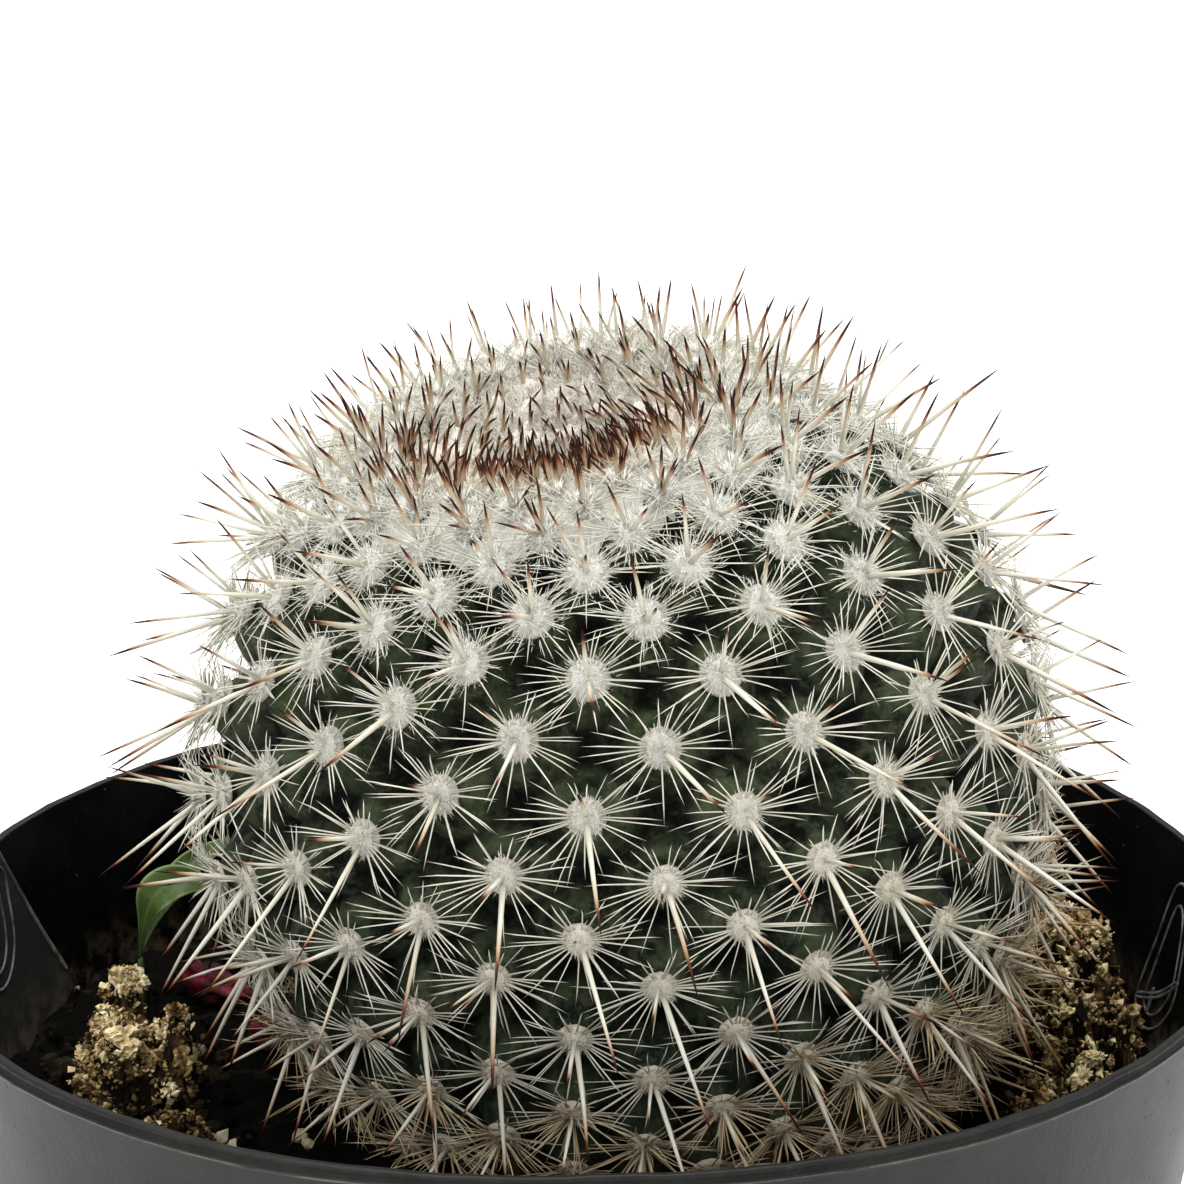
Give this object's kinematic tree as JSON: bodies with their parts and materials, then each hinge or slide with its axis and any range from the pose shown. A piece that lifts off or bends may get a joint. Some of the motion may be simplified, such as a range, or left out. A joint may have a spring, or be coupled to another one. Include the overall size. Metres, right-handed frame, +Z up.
{
  "type": "potted globular cactus",
  "caption": "Round cactus with spiral tubercles, white spine stars and a woolly crown, standing in soil in a tapered black plastic nursery pot.",
  "frame": {"origin": "centre of the pot's base, on the surface that it stands on", "axes": "+Z up along the pot's axis; the side seen in the picture faces -Y, and +X is to its right"},
  "size_m": [0.1, 0.1, 0.1314],
  "materials": {
    "pot_plastic": "black satin injection-moulded plastic, a little dusty inside",
    "soil": "dark, matte, crumbly potting soil",
    "dry_earth": "dry tan crumbs, matte",
    "fruit": "crimson fruit skin, half dried",
    "leaf": "soft green leaf",
    "cactus_skin": "dark green waxy skin under white spines",
    "wool": "white felted wool with young brown-tipped spines"
  },
  "bodies": {
    "root": {"pot": "pot_plastic", "soil": "soil", "earth_crumbs_left": "dry_earth", "earth_crumbs_right": "dry_earth", "fallen_fruit_long": "fruit", "fallen_fruit_short": "fruit", "seedling": "leaf", "cactus": "cactus_skin", "cactus_crown_wool": "wool"}
  },
  "joints": []
}
